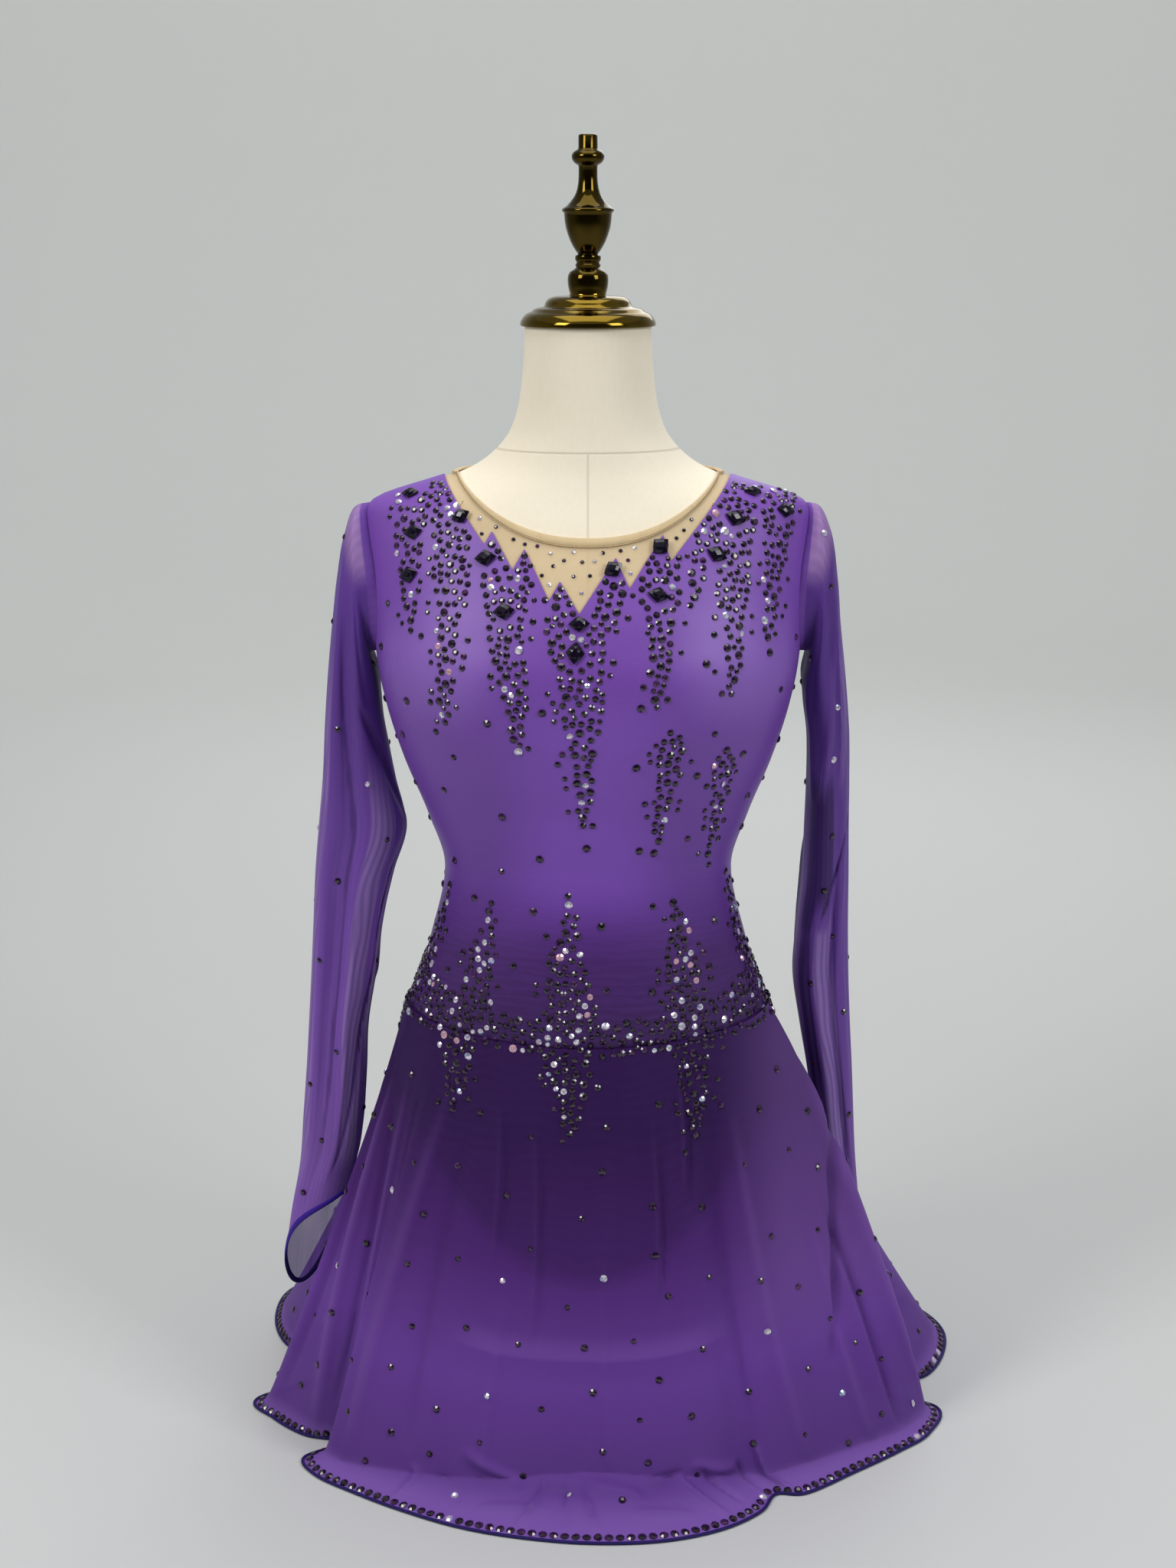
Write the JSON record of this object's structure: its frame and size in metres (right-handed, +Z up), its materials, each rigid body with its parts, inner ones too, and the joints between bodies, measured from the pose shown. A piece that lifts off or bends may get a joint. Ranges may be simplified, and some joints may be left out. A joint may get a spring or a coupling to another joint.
{
  "type": "figure skating dress on a dress form",
  "caption": "Long-sleeved skating dress with a pointed nude mesh yoke and a flared sheer skirt, worn by a limbless dress form with a turned brass finial.",
  "frame": {"origin": "middle of the underside of the plinth that the form stands on", "axes": "+Z up, -Y towards the front of the dress, +X to the right of a picture taken from the front"},
  "size_m": [0.6446, 0.5159, 1.101],
  "materials": {
    "plinth_cover": "matte",
    "form_linen": "matte",
    "polished_brass": "polished",
    "violet_stretch": "matte",
    "nude_mesh": "matte",
    "sheer_violet": "sheer",
    "deep_binding": "satin",
    "black_crystal": "faceted"
  },
  "bodies": {
    "root": {"form_plinth": "plinth_cover", "form_torso": "form_linen", "form_finial": "polished_brass", "bodice_front": "violet_stretch", "bodice_back": "violet_stretch", "yoke_front": "nude_mesh", "yoke_back": "nude_mesh", "neck_binding": "nude_mesh", "sleeve_left": "sheer_violet", "sleeve_right": "sheer_violet", "cuff_binding_left": "deep_binding", "cuff_binding_right": "deep_binding", "trunks_front": "violet_stretch", "trunks_back": "violet_stretch", "skirt_front": "sheer_violet", "skirt_back": "sheer_violet", "hem_binding": "deep_binding", "stone_01": "black_crystal", "stone_02": "black_crystal", "stone_03": "black_crystal", "stone_04": "black_crystal", "stone_05": "black_crystal", "stone_06": "black_crystal", "stone_07": "black_crystal", "stone_08": "black_crystal", "stone_09": "black_crystal", "stone_10": "black_crystal", "stone_11": "black_crystal", "stone_12": "black_crystal", "stone_13": "black_crystal"}
  },
  "joints": []
}
